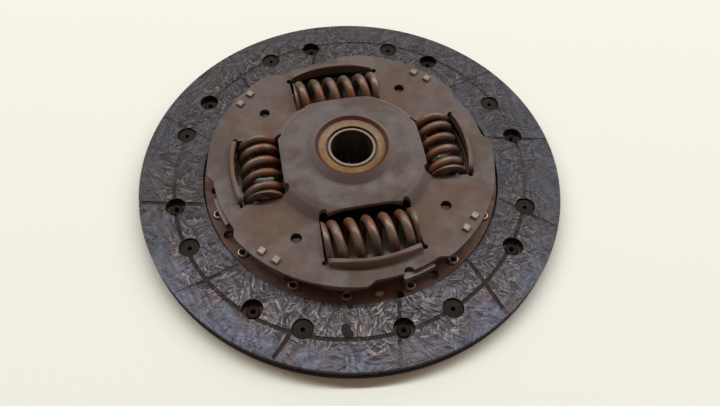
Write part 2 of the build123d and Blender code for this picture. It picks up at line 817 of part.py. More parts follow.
with BuildPart() as hub:
    with BuildSketch(Plane.XZ):
        with BuildLine():
            Polyline(
                (spline_tip_radius, hub_bottom_z),
                (hub_body_radius - hub_rim_chamfer, hub_bottom_z),
                (hub_body_radius, hub_bottom_z + hub_rim_chamfer),
                (hub_body_radius, hub_shoulder_z),
                (hub_shoulder_radius, hub_shoulder_z),
                (hub_shoulder_radius, flange_bottom_z),
                (hub_seat_radius, flange_bottom_z),
                (hub_seat_radius, hub_seat_top_z),
                (hub_collar_radius, hub_seat_top_z),
                (hub_collar_radius, hub_top_z - hub_rim_chamfer),
                (hub_collar_radius - hub_rim_chamfer, hub_top_z),
                (hub_bore_radius, hub_top_z),
                (hub_bore_radius, spline_top_z),
                (spline_tip_radius, spline_top_z),
                close=True,
            )
        make_face()
    revolve(axis=Axis.Z)
    with BuildSketch(Plane.XY.offset(hub_bottom_z)):
        with BuildLine():
            Polyline(
                (0, -spline_space_mouth_half_width),
                (spline_tip_radius, -spline_space_mouth_half_width),
                (hub_bore_radius, -spline_space_root_half_width),
                (hub_bore_radius, spline_space_root_half_width),
                (spline_tip_radius, spline_space_mouth_half_width),
                (0, spline_space_mouth_half_width),
                close=True,
            )
        spline_space = make_face(mode=Mode.PRIVATE)
        add(PolarLocations(0, spline_count) * spline_space)
    extrude(amount=spline_top_z - hub_bottom_z, mode=Mode.SUBTRACT)
hub.part.label = "hub"

with BuildPart() as hub_flange:
    with BuildSketch(Plane.XY.offset(flange_bottom_z)):
        Circle(flange_radius)
        for count in range(spacer_count):
            spacer_angle = spacer_first_angle + count * 360 / spacer_count
            for start in (spacer_angle - lug_end, spacer_angle + lug_start):
                end = start + flange_lug_angle
                add(sector(flange_radius - flange_rim_width, flange_lug_radius, start, end))
        add(flange_windows.sketch, mode=Mode.SUBTRACT)
        Circle(hub_seat_radius + flange_fit_clearance, mode=Mode.SUBTRACT)
    extrude(amount=flange_thickness)
hub_flange.part.label = "hub_flange"

# --------------------------------------------------------------------------------------
# Bushes, washers and cone springs round the hub
# --------------------------------------------------------------------------------------


def hub_bush(hub_radius, tube_radius, flange_inside_z, dome_z, end_z):
    """A flanged bush on the hub: its tube passes out through the plate, recessed round the hub."""
    direction = math.copysign(1, end_z - dome_z)
    bore = hub_radius + bush_running_clearance
    recess_radius = bore + bush_recess_width
    face_dip = (tube_radius - recess_radius) * bush_face_slope
    recess_z = end_z - direction * bush_recess_depth
    return turned(
        (bore, flange_inside_z),
        (bush_flange_radius, flange_inside_z),
        (bush_flange_radius, dome_z),
        (tube_radius, dome_z),
        (tube_radius, end_z),
        (recess_radius, end_z - direction * face_dip),
        (recess_radius, recess_z),
        (bore, recess_z),
    )


def cone_washer(bottom_z, top_z, inner_radius):
    """A cone spring washer between two heights, its inner edge on top."""
    return turned(
        (inner_radius, top_z - cone_washer_sheet),
        (bush_flange_radius, bottom_z),
        (bush_flange_radius, bottom_z + cone_washer_sheet),
        (inner_radius, top_z),
    )


with BuildPart() as front_bush:
    add(hub_bush(hub_collar_radius, front_bush_radius, front_bush_z, cover_dome_z, dome_collar_z))
front_bush.part.label = "front_bush"

with BuildPart() as rear_bush:
    add(hub_bush(hub_body_radius, rear_bush_radius, rear_bush_z, drive_dome_z, rear_bush_end_z))
rear_bush.part.label = "rear_bush"

with BuildPart() as front_thrust_washer:
    add(
        flat_washer(
            hub_collar_radius + washer_clearance,
            washer_outer_radius,
            front_thrust_z,
            thrust_washer_thickness,
        )
    )
front_thrust_washer.part.label = "front_thrust_washer"

with BuildPart() as rear_thrust_washer:
    add(
        flat_washer(
            hub_body_radius + washer_clearance,
            washer_outer_radius,
            rear_bush_z,
            thrust_washer_thickness,
        )
    )
rear_thrust_washer.part.label = "rear_thrust_washer"

with BuildPart() as front_friction_washer:
    add(
        flat_washer(
            hub_seat_radius + washer_clearance,
            washer_outer_radius,
            front_friction_z,
            friction_washer_thickness,
        )
    )
front_friction_washer.part.label = "front_friction_washer"

with BuildPart() as rear_friction_washer:
    add(
        flat_washer(
            hub_shoulder_radius + washer_clearance,
            washer_outer_radius,
            rear_friction_z,
            friction_washer_thickness,
        )
    )
rear_friction_washer.part.label = "rear_friction_washer"

with BuildPart() as front_cone_washer:
    add(cone_washer(front_friction_top_z, front_thrust_z, cone_washer_inner_radius))
front_cone_washer.part.label = "front_cone_washer"

with BuildPart() as rear_cone_washer:
    add(cone_washer(rear_thrust_z, rear_friction_z, cone_washer_inner_radius))
rear_cone_washer.part.label = "rear_cone_washer"

# --------------------------------------------------------------------------------------
# Write each piece
# --------------------------------------------------------------------------------------

pieces = [
    front_facing.part,
    rear_facing.part,
    front_facing_rivets.part,
    rear_facing_rivets.part,
    *cushion_segments,
    segment_rivets.part,
    balance_rivet.part,
    *springs,
    *spacers,
    cover_plate.part,
    drive_plate.part,
    hub.part,
    hub_flange.part,
    front_bush.part,
    rear_bush.part,
    front_thrust_washer.part,
    rear_thrust_washer.part,
    front_friction_washer.part,
    rear_friction_washer.part,
    front_cone_washer.part,
    rear_cone_washer.part,
]
for piece in pieces:
    export_step(piece, f"parts/{piece.label}.step")
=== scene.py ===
"""Looks of the clutch disc: worn fibre facings, heat-tinted plates, rusted damper springs.

Metres, in the row frame: the origin is on the hub axis in the disc's rear face, +Z points to the
cover plate. Colours are linear. Textures work in millimetres of the row frame, and a named pair of
numbers holds the two places or values between which something fades in.
"""

import json
import math

import bpy
from mathutils import Matrix, Vector

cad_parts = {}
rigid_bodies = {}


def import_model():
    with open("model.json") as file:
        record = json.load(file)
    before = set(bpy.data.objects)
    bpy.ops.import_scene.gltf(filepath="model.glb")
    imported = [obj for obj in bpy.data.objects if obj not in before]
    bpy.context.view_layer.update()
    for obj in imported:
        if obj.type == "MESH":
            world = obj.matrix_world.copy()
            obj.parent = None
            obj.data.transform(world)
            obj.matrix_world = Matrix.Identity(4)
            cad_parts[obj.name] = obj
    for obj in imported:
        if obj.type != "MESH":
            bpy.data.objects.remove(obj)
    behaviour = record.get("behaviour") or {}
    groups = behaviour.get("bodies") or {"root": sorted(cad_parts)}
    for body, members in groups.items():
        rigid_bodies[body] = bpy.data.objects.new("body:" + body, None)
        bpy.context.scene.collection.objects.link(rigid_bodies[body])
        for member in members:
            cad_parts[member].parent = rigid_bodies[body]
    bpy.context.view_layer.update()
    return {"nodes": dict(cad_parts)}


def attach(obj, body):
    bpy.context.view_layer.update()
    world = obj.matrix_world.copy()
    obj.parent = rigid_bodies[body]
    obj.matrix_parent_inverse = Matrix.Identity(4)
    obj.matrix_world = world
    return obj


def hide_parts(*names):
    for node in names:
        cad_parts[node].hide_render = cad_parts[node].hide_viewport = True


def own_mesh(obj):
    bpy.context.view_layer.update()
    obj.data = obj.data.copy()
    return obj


for leftover in list(bpy.data.objects):
    bpy.data.objects.remove(leftover)

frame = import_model()
nodes = frame["nodes"]
scene = bpy.context.scene
scene.view_settings.view_transform = "Standard"

MM = 0.001


def srgb(red, green, blue):
    """A linear colour from 8-bit display values."""
    linear = []
    for value in (red, green, blue):
        share = value / 255
        linear.append(share / 12.92 if share <= 0.04045 else ((share + 0.055) / 1.055) ** 2.4)
    return (*linear, 1.0)


# --------------------------------------------------------------------------------------
# Node trees
# --------------------------------------------------------------------------------------

WHITE = (1.0, 1.0, 1.0, 1.0)
HALF = (0.5, 0.5, 0.5)  # the middle of a coloured noise
EDGE_TURN = (0.995, 0.8)  # cosines of the angle between the plain and the rounded normal
PLAIN_GLOSS = 0.5


class Paint:
    """A material built by calls. They return an output socket, except add (a node) and finish."""

    def __init__(self, name):
        self.material = bpy.data.materials.new(name)
        self.material.use_nodes = True
        self.tree = self.material.node_tree
        self.tree.nodes.clear()
        place = self.add("ShaderNodeTexCoord", {}).outputs["Object"]
        self.mm = self.vector("SCALE", place, scale=1 / MM)
        self.x, self.y, self.z = self.add("ShaderNodeSeparateXYZ", {0: self.mm}).outputs
        self.radius = self.math("SQRT", self.plus(self.times(self.x, self.x), self.times(self.y, self.y)))
        self.angle = self.math("DEGREES", self.math("ARCTAN2", self.y, self.x))

    def add(self, kind, inputs, **settings):
        """A new node; an input is a socket to link or a fixed value."""
        node = self.tree.nodes.new(kind)
        for name, value in settings.items():
            setattr(node, name, value)
        for socket, value in inputs.items():
            if isinstance(value, bpy.types.NodeSocket):
                self.tree.links.new(value, node.inputs[socket])
            else:
                node.inputs[socket].default_value = value
        return node

    def math(self, operation, first, second=0.0):
        return self.add("ShaderNodeMath", {0: first, 1: second}, operation=operation).outputs[0]

    def times(self, first, *others):
        for other in others:
            first = self.math("MULTIPLY", first, other)
        return first

    def plus(self, first, *others):
        for other in others:
            first = self.math("ADD", first, other)
        return first

    def minus(self, first, second):
        return self.math("SUBTRACT", first, second)

    def apart(self, value, middle):
        """How far a value is from a middle, either way."""
        return self.math("ABSOLUTE", self.minus(value, middle))

    def vector(self, operation, first, second=None, scale=None):
        inputs = {0: first}
        if second is not None:
            inputs[1] = second
        if scale is not None:
            inputs["Scale"] = scale
        return self.add("ShaderNodeVectorMath", inputs, operation=operation).outputs[0]

    def turned(self, place, angle):
        """A place turned about the Z axis."""
        inputs = {"Vector": place, "Angle": angle}
        return self.add("ShaderNodeVectorRotate", inputs, rotation_type="Z_AXIS").outputs[0]

    def noise(self, size, detail=3.0, roughness=0.55, where=None, colour=False):
        """Noise with features about size millimetres across."""
        inputs = {"Vector": where or self.mm, "Scale": 1 / size, "Detail": detail, "Roughness": roughness}
        outputs = self.add("ShaderNodeTexNoise", inputs).outputs
        return outputs["Color"] if colour else outputs["Fac"]

    def drift(self, size, reach, detail=3.0, where=None):
        """A random shift inside a cube reach millimetres wide, much the same over size millimetres."""
        cloud = self.noise(size, detail=detail, where=where, colour=True)
        return self.vector("SCALE", self.vector("SUBTRACT", cloud, HALF), scale=reach)

    def step(self, value, low, high, bottom=0.0, top=1.0):
        """value taken smoothly from low..high to bottom..top, and held there outside."""
        inputs = {"Value": value, 1: low, 2: high, 3: bottom, 4: top}
        return self.add("ShaderNodeMapRange", inputs, interpolation_type="SMOOTHSTEP").outputs[0]

    def between(self, share, bottom, top):
        """bottom where share is 0, top where it is 1."""
        return self.step(share, 0.0, 1.0, bottom, top)

    def mix(self, share, first, second, blend="MIX"):
        inputs = {"Factor": share, 6: first, 7: second}
        return self.add("ShaderNodeMix", inputs, data_type="RGBA", blend_type=blend).outputs[2]

    def over(self, colour, shade, mask, strength):
        """The colour with a shade laid over it where mask is 1, as strongly as strength says."""
        return self.mix(self.times(mask, strength), colour, shade)

    def bump(self, height, distance, strength=1.0):
        """A normal from a height map of the range 0..1 that is distance millimetres high."""
        inputs = {"Height": height, "Distance": distance * MM, "Strength": strength}
        return self.add("ShaderNodeBump", inputs).outputs[0]

    def edge(self, radius):
        """1 where an edge lies within radius millimetres, 0 on open faces."""
        soft = self.add("ShaderNodeBevel", {"Radius": radius * MM}, samples=4).outputs[0]
        plain = self.add("ShaderNodeNewGeometry", {}).outputs["Normal"]
        alike = self.add("ShaderNodeVectorMath", {0: soft, 1: plain}, operation="DOT_PRODUCT")
        return self.step(alike.outputs["Value"], *EDGE_TURN)

    def finish(self, colour, roughness, metallic=0.0, normal=None, gloss=PLAIN_GLOSS, tint=WHITE):
        """End the tree in one shader, and return the material."""
        inputs = {"Base Color": colour, "Roughness": roughness, "Metallic": metallic,
                  "Specular IOR Level": gloss, "Specular Tint": tint}
        if normal is not None:
            inputs["Normal"] = normal
        shader = self.add("ShaderNodeBsdfPrincipled", inputs)
        output = self.add("ShaderNodeOutputMaterial", {0: shader.outputs[0]})
        output.is_active_output = True
        return self.material


def dress(material, *names):
    """Give nodes of the frame one material."""
    for name in names:
        nodes[name].data.materials.clear()
        nodes[name].data.materials.append(material)


# --------------------------------------------------------------------------------------
# Facings
# --------------------------------------------------------------------------------------

FACING_TOP = 7.9  # front facing's working face
FACING_MIDDLE = FACING_TOP / 2
WORKING_SKIN = (0.06, 0.22)  # depth under a working face
DEEP = (3.45, 3.3)  # up or down from the facing's middle; inside it all is drawn dark, however worn a groove
RIVET_BAND = 88.0
RIVET_BAND_FADE = (15.0, 5.0)
DENSITY_SIZE = 13.0
CLOUD_SIZE = 20.0

GROOVE_CIRCLE = 91.0
GROOVE_RING_FADE = (5.0, 6.5)  # from the groove circle; the ring's groove isn't quite round
NEAR_SIDE = (10.0, -40.0)  # along Y; the ring is more open towards -Y
GROOVE_END_FADE = 1.0
GROOVE_SIDE_FADE = (0.6, -0.4)  # degrees outside the groove
OPEN_GROOVES = (  # angles in degrees from -180 to 180, radii in millimetres
    (-166.0, -160.0, 76.0, 107.0),
    (-107.5, -102.5, 90.0, 108.0),
    (-75.5, -70.0, 76.0, 97.0),
    (-47.5, -40.5, 76.0, 104.0),
    (13.0, 20.0, 80.0, 100.0),
    (106.0, 111.0, 76.0, 90.0),
    (136.0, 141.0, 78.0, 98.0),
)

CHIP_PLACE = (2.4, -89.0)  # a chip lost from the working face
CHIP_HALF_LENGTH = 4.2
CHIP_HALF_WIDTH = 2.4
CHIP_TURN = math.radians(62)
CHIP_EDGE = (1.1, 0.85)  # of its half size
CHIP_RAGGED_SIZE = 2.5
CHIP_RAGGED_REACH = 2.4

STRANDS = (  # patch, width and length in millimetres, sway of a patch in radians, curl of a strand
    {"patch": 19.0, "width": 2.6, "length": 14.0, "sway": 2.4, "curl": 0.03},
    {"patch": 13.0, "width": 1.6, "length": 10.0, "sway": 3.0, "curl": 0.04},
    {"patch": 10.0, "width": 1.2, "length": 8.5, "sway": 3.6, "curl": 0.05},
    {"patch": 7.0, "width": 1.05, "length": 6.0, "sway": 5.0, "curl": 0.06},
)
SEED_SHIFT = (31.0, 17.0, 0.0)  # millimetres by which each layer's bends are moved
BEND_SIZE = 1.2  # of a patch
BEND_REACH = 0.45  # of a patch
PATCH_SPREAD = 90.0  # keeps one patch's strands unlike the next one's

SHEEN_GAIN = (2.2, 2.4, 2.65, 1.0)  # brightening of the side towards -Y, a painted sheen, as a factor
SHEEN_SIDE = (10.0, -75.0)  # along Y, where the painted sheen fades in, moved by up to the drift below
SHEEN_DRIFT = 30.0
FACING_TINT = (0.8, 0.84, 1.0, 1.0)
FACING_RELIEF = 0.6


def strands(paint, seed, patch, width, length, sway, curl):
    """Bundles of slightly bent strands, each patch with its own direction. 0..1 about 0.5."""
    place = paint.vector("ADD", paint.mm, tuple(seed * shift for shift in SEED_SHIFT))
    bend = paint.drift(patch * BEND_SIZE, patch * BEND_REACH, detail=1.0, where=place)
    bent = paint.vector("ADD", paint.vector("MULTIPLY", paint.mm, (1.0, 1.0, 0.0)), bend)
    cells = paint.add("ShaderNodeTexVoronoi", {"Vector": bent, "Scale": 1 / patch}).outputs
    luck = paint.add("ShaderNodeSeparateColor", {0: cells["Color"]}).outputs
    centre = paint.add("ShaderNodeSeparateXYZ", {0: cells["Position"]}).outputs

    # Strands run round the disc, swayed from patch to patch
    tangent = paint.plus(paint.math("ARCTAN2", centre[1], centre[0]), math.pi / 2)
    lean = paint.times(paint.minus(luck[0], 0.5), sway)
    local = paint.vector("SUBTRACT", bent, cells["Position"])
    local = paint.turned(local, paint.times(paint.plus(tangent, lean), -1.0))
    along, beside, _ = paint.add("ShaderNodeSeparateXYZ", {0: local}).outputs
    arch = paint.times(paint.minus(luck[1], 0.5), curl)
    beside = paint.plus(beside, paint.times(paint.times(along, along), arch))
    strand = paint.add("ShaderNodeCombineXYZ", {
        0: paint.math("DIVIDE", along, length),
        1: paint.math("DIVIDE", beside, width),
        2: paint.times(luck[2], PATCH_SPREAD)}).outputs[0]
    return paint.noise(1.0, detail=1.5, roughness=0.5, where=strand)


def groove_wear(paint):
    """1 where the grooves are still open and drawn dark, near 0 where they are worn or packed level."""
    ring = paint.minus(1.0, paint.step(paint.apart(paint.radius, GROOVE_CIRCLE), *GROOVE_RING_FADE))
    seen = paint.times(ring, paint.between(paint.step(paint.y, *NEAR_SIDE), 0.35, 1.0))
    for start, end, inner, outer in OPEN_GROOVES:
        half, middle = (end - start) / 2, (start + end) / 2
        sides = [half + fade for fade in GROOVE_SIDE_FADE]
        part = paint.step(paint.apart(paint.angle, middle), *sides)
        part = paint.times(part, paint.step(paint.radius, inner - GROOVE_END_FADE, inner + GROOVE_END_FADE))
        part = paint.times(part, paint.step(paint.radius, outer + GROOVE_END_FADE, outer - GROOVE_END_FADE))
        seen = paint.math("MAXIMUM", seen, part)
    seen = paint.times(seen, paint.step(paint.noise(2.2), 0.3, 0.5, 0.55, 1.0))
    faint = paint.step(paint.noise(7.0), 0.45, 0.6, 0.05, 0.35)
    return paint.math("MAXIMUM", seen, faint)


def facing_chip(paint):
    """1 inside the ragged chip of the working face."""
    place = paint.vector("SUBTRACT", paint.mm, (*CHIP_PLACE, FACING_TOP))
    place = paint.vector("ADD", place, paint.drift(CHIP_RAGGED_SIZE, CHIP_RAGGED_REACH))
    place = paint.turned(place, CHIP_TURN)
    place = paint.vector("MULTIPLY", place, (1 / CHIP_HALF_LENGTH, 1 / CHIP_HALF_WIDTH, 0.0))
    away = paint.add("ShaderNodeVectorMath", {0: place}, operation="LENGTH").outputs["Value"]
    return paint.step(away, *CHIP_EDGE)


def strand_colour(paint, broad, wide, fine, cross, cloud):
    """The working face: slate resin with dark and pale strands."""
    # Strands lie thickest round the rivets, and the face is smoother towards both rims
    band = paint.step(paint.apart(paint.radius, RIVET_BAND), *RIVET_BAND_FADE, 0.0, 0.2)
    dense = paint.step(paint.plus(paint.noise(DENSITY_SIZE), band), 0.46, 0.7)

    slate = paint.mix(paint.step(cloud, 0.4, 0.6), srgb(58, 59, 68), srgb(66, 56, 54))
    colour = paint.over(slate, srgb(56, 46, 43), dense, 0.5)
    pale = paint.mix(paint.noise(9.0, detail=1.0), srgb(100, 95, 98), srgb(110, 98, 88))
    layers = (  # from the bottom up: strands, where they fade in, strength where smooth and dense, shade
        (broad, (0.48, 0.38), (0.5, 0.85), srgb(32, 25, 26)),
        (broad, (0.54, 0.64), (0.6, 0.3), srgb(80, 82, 94)),
        (wide, (0.48, 0.4), (0.4, 0.95), srgb(22, 15, 14)),
        (fine, (0.54, 0.64), (0.2, 0.6), pale),
        (cross, (0.6, 0.72), (0.05, 0.5), srgb(152, 138, 124)),
        (cross, (0.46, 0.37), (0.2, 0.95), srgb(26, 19, 18)),
    )
    for bundle, fade, strength, shade in layers:
        colour = paint.over(colour, shade, paint.step(bundle, *fade), paint.between(dense, *strength))

    # The side towards -Y is brightened and blued, a painted sheen
    painted_sheen = paint.step(paint.plus(paint.y, paint.times(cloud, SHEEN_DRIFT)), *SHEEN_SIDE)
    return paint.mix(painted_sheen, colour, SHEEN_GAIN, blend="MULTIPLY")


def facing_material():
    """Moulded fibre: strands on the working faces, dark brown in everything below them."""
    paint = Paint("facing_fibre")
    broad, wide, fine, cross = [strands(paint, seed, **size) for seed, size in enumerate(STRANDS, 1)]
    colour = strand_colour(paint, broad, wide, fine, cross, paint.noise(CLOUD_SIZE, detail=4.0))

    # Grooves, rivet holes, the sides and the chip
    front_below = paint.step(paint.z, *[FACING_TOP - depth for depth in WORKING_SKIN])
    rear_below = paint.step(paint.z, *WORKING_SKIN)
    deep = paint.step(paint.apart(paint.z, FACING_MIDDLE), *DEEP)
    chip = facing_chip(paint)
    sunk = paint.math("MINIMUM", front_below, rear_below)
    sunk = paint.times(sunk, paint.math("MAXIMUM", deep, groove_wear(paint)))
    sunk = paint.math("MAXIMUM", sunk, chip)
    # Everything below the working faces is drawn in dark browns, the chip dark grey
    sunk_tone = paint.mix(paint.noise(1.5, detail=5.0), srgb(30, 22, 20), srgb(54, 41, 36))
    sunk_tone = paint.mix(deep, sunk_tone, srgb(34, 25, 22))
    sunk_tone = paint.mix(chip, sunk_tone, srgb(34, 31, 31))
    colour = paint.mix(sunk, colour, sunk_tone)
    # Edges of the working faces are painted lighter, a painted highlight
    rim = paint.times(paint.edge(0.5), paint.minus(1.0, sunk))
    colour = paint.over(colour, srgb(122, 110, 106), rim, 0.4)

    height = paint.plus(paint.times(wide, 0.8), paint.times(fine, 0.7), paint.times(cross, 0.6),
                        paint.times(broad, 0.6))
    height = paint.minus(height, paint.times(chip, 0.6))
    rough = paint.plus(paint.step(fine, 0.4, 0.6, 0.35, 0.45), paint.times(sunk, 0.4))
    return paint.finish(colour, rough, 0.0, paint.bump(height, FACING_RELIEF), gloss=0.34, tint=FACING_TINT)


dress(facing_material(), "front_facing", "rear_facing")

# --------------------------------------------------------------------------------------
# Plates and small steel pieces
# --------------------------------------------------------------------------------------

SEGMENT_COUNT = 8
SPACER_COUNT = 4
RUST = (srgb(70, 40, 25), srgb(140, 80, 48))
DULL_RUST = (srgb(80, 56, 46), srgb(116, 80, 62))
GRAIN_RELIEF = 0.02

WINDOW_MIDDLE = 12.9  # degrees from +X to the middle of the first window
WINDOW_COUNT = 4
HEAT_INSIDE = (33.0, 44.0)  # radius
HEAT_OUTSIDE = (76.0, 62.0)
DOME_FOOT = (53.0, 50.0)
TILTED = (0.98, 0.8)  # upward part of a face's normal
LIP_TOPS = (21.2, 22.2)  # height
LIP_RADIUS = (50.0, 52.0)
COLLAR_MOUTH = (18.5, 17.9)  # radius, either side of the collar's crest
COVER_RELIEF = 0.03

LUG_TIPS = (66.0, 69.5)  # radius
LUG_TIPS_RAGGED = 3.0
PALE_SIDE = (12.0, -15.0)  # along Y; lugs towards +Y are drawn darker
FLANGE_RELIEF = 0.03


def mottled(name, shades, roughness, metallic, grain, rust=0.0, rust_shades=RUST, edge_shade=None,
            edge_radius=0.0, gloss=PLAIN_GLOSS):
    """Three shades in soft clouds about grain millimetres apart, with rust blotches and polished edges."""
    paint = Paint(name)
    large = paint.noise(grain * 4)
    small = paint.noise(grain * 0.6, detail=5.0, roughness=0.6)
    base, second, stain = shades
    colour = paint.mix(paint.step(large, 0.36, 0.64), base, second)
    colour = paint.over(colour, stain, paint.step(small, 0.45, 0.75), 0.6)
    rough = paint.step(small, 0.3, 0.7, roughness - 0.07, roughness + 0.1)
    if rust:
        blotch = paint.noise(grain * 1.4, detail=6.0, roughness=0.68)
        mask = paint.step(blotch, 0.62 - 0.25 * rust, 0.78 - 0.25 * rust)
        tone = paint.mix(paint.noise(1.2), *rust_shades)
        colour = paint.over(colour, tone, mask, rust + 0.3)
        rough = paint.plus(rough, paint.times(mask, 0.2))
    if edge_shade:
        colour = paint.over(colour, edge_shade, paint.edge(edge_radius), 0.7)
    height = paint.plus(small, paint.times(paint.noise(0.5, detail=2.0), 0.4))
    return paint.finish(colour, rough, metallic, paint.bump(height, GRAIN_RELIEF), gloss=gloss)


def cover_heat(paint, large):
    """1 in the four places between the windows, where the sheet went brown."""
    turn = paint.times(paint.minus(paint.angle, WINDOW_MIDDLE), math.radians(WINDOW_COUNT))
    off_window = paint.step(paint.math("COSINE", turn), 0.5, -0.6)
    out = paint.times(paint.step(paint.radius, *HEAT_INSIDE), paint.step(paint.radius, *HEAT_OUTSIDE))
    return paint.times(off_window, out, paint.step(large, 0.35, 0.6, 0.35, 1.0))


def cover_material():
    """Heat-tinted sheet: a painted bluish sheen on the slopes, browner between the windows, rust and
    painted shade in the collar's mouth.
    """
    paint = Paint("cover_tinted_steel")
    large = paint.noise(26.0, detail=4.0, roughness=0.6)
    small = paint.noise(7.0, detail=6.0, roughness=0.62)
    colour = paint.mix(paint.step(large, 0.44, 0.6), srgb(95, 86, 85), srgb(80, 67, 60))
    colour = paint.over(colour, srgb(74, 61, 55), paint.step(small, 0.42, 0.75), 0.35)

    heat = cover_heat(paint, large)
    colour = paint.over(colour, srgb(90, 66, 54), heat, 0.75)
    blotch = paint.step(paint.noise(9.0, detail=5.0, roughness=0.66), 0.56, 0.7)
    colour = paint.over(colour, srgb(104, 66, 46), paint.times(blotch, heat), 0.55)

    # Slopes of the dome and the collar are painted lighter and bluish, a painted sheen, fainter outside the
    # dome's foot
    normal = paint.add("ShaderNodeNewGeometry", {}).outputs["Normal"]
    facing_up = paint.add("ShaderNodeSeparateXYZ", {0: normal}).outputs[2]
    painted_slope_sheen = paint.times(paint.step(facing_up, *TILTED), paint.step(paint.radius, *DOME_FOOT, 0.3, 1.0))
    colour = paint.over(colour, srgb(120, 110, 112), painted_slope_sheen, 0.75)

    lip = paint.times(paint.step(paint.z, *LIP_TOPS), paint.step(paint.radius, *LIP_RADIUS))
    colour = paint.over(colour, srgb(108, 82, 68), lip, 0.7)
    # The collar's mouth is dark rusty brown all round: rust, with a painted shade over it
    colour = paint.mix(paint.step(paint.radius, *COLLAR_MOUTH), colour, srgb(84, 48, 28))

    dots = paint.step(paint.noise(1.1, detail=2.0, roughness=0.4), 0.67, 0.75)
    colour = paint.over(colour, srgb(48, 36, 32), dots, 0.4)
    # Edges are painted lighter, a painted highlight
    colour = paint.over(colour, srgb(132, 120, 114), paint.edge(0.35), 0.5)
    rough = paint.step(small, 0.3, 0.7, 0.5, 0.64)
    height = paint.plus(small, paint.times(paint.noise(0.6, detail=2.0), 0.3))
    return paint.finish(colour, rough, 0.12, paint.bump(height, COVER_RELIEF), gloss=0.35)


def flange_material():
    """Stamped steel: pale only on the tips of the lugs, with a painted shade inside the damper."""
    paint = Paint("flange_stamped_steel")
    small = paint.noise(3.0, detail=4.0)
    pale = paint.mix(small, srgb(112, 101, 92), srgb(90, 77, 68))
    # Inside the damper the sheet is painted near black, a painted shade
    dark = paint.mix(small, srgb(22, 16, 14), srgb(34, 25, 22))
    tip = paint.step(paint.plus(paint.radius, paint.times(small, LUG_TIPS_RAGGED)), *LUG_TIPS)
    tip = paint.times(tip, paint.step(paint.y, *PALE_SIDE, 0.15, 1.0))
    colour = paint.mix(tip, dark, pale)
    polish = paint.times(paint.edge(0.3), paint.times(tip, 0.4))
    colour = paint.mix(polish, colour, srgb(150, 138, 126))
    return paint.finish(colour, 0.5, 0.3, paint.bump(small, FLANGE_RELIEF))


drive_paint = mottled(
    "drive_rusty_steel", (srgb(100, 79, 72), srgb(110, 84, 74), srgb(82, 62, 56)), roughness=0.62,
    metallic=0.1, grain=6.0, rust=0.35, rust_shades=DULL_RUST, gloss=0.3)
segment_paint = mottled(
    "cushion_stained_steel", (srgb(62, 48, 42), srgb(78, 60, 52), srgb(48, 36, 32)), roughness=0.6,
    metallic=0.3, grain=5.0, rust=0.4)
spacer_paint = mottled(
    "spacer_bare_steel", (srgb(128, 116, 106), srgb(142, 130, 118), srgb(104, 88, 78)), roughness=0.5,
    metallic=0.3, grain=1.5, rust=0.2, edge_shade=srgb(158, 148, 136), edge_radius=0.2)
rivet_paint = mottled(
    "rivet_bright_steel", (srgb(140, 129, 120), srgb(160, 150, 140), srgb(104, 90, 80)), roughness=0.32,
    metallic=0.7, grain=1.2, rust=0.15)
washer_paint = mottled(
    "washer_spring_steel", (srgb(120, 110, 100), srgb(138, 128, 116), srgb(96, 84, 74)), roughness=0.4,
    metallic=0.8, grain=4.0)
facing_rivet_paint = mottled(
    "facing_rivet_tarnish", (srgb(36, 28, 25), srgb(43, 34, 30), srgb(28, 22, 20)), roughness=0.72,
    metallic=0.0, grain=2.0, edge_shade=srgb(54, 44, 39), edge_radius=0.3, gloss=0.15)
lining_paint = mottled(
    "friction_lining", (srgb(52, 45, 40), srgb(62, 54, 48), srgb(40, 34, 30)), roughness=0.8,
    metallic=0.0, grain=2.0)

dress(cover_material(), "cover_plate")
dress(drive_paint, "drive_plate")
dress(segment_paint, *[f"cushion_segment_{count}" for count in range(1, SEGMENT_COUNT + 1)])
dress(flange_material(), "hub_flange")
dress(spacer_paint, *[f"spacer_{count}" for count in range(1, SPACER_COUNT + 1)])
dress(rivet_paint, "segment_rivets", "balance_rivet")
dress(washer_paint, "front_thrust_washer", "rear_thrust_washer", "front_cone_washer", "rear_cone_washer")
dress(facing_rivet_paint, "front_facing_rivets", "rear_facing_rivets")
dress(lining_paint, "front_friction_washer", "rear_friction_washer")

# --------------------------------------------------------------------------------------
# Hub and bushes
# --------------------------------------------------------------------------------------

BORE_SHADE = (11.0, 10.3)  # radius, either side of the bore's wall
TURNING_PITCH = 0.4
HUB_RELIEF = 0.02
BUSH_RIM_SHADOW = (14.1, 16.2)  # radius, out to the front bush's rim
SHADOW_SIDE = (-12.0, 8.0)  # across the bush, towards +Y and +X
BUSH_RECESS = (13.2, 12.5)  # radius of the recess round the hub
BUSH_RELIEF = 0.03


def hub_material():
    """Turned steel with fine rings, dark in the bore."""
    paint = Paint("hub_machined_steel")
    rings = paint.add("ShaderNodeCombineXYZ", {0: paint.radius, 1: paint.z, 2: 0.0}).outputs[0]
    turning = paint.noise(TURNING_PITCH, detail=2.0, where=rings)
    inside = paint.step(paint.radius, *BORE_SHADE)
    colour = paint.mix(turning, srgb(96, 84, 76), srgb(124, 111, 100))
    colour = paint.over(colour, srgb(66, 52, 50), inside, 0.93)
    rough = paint.between(inside, 0.42, 0.5)
    return paint.finish(colour, rough, 0.5, paint.bump(turning, HUB_RELIEF, 0.6))


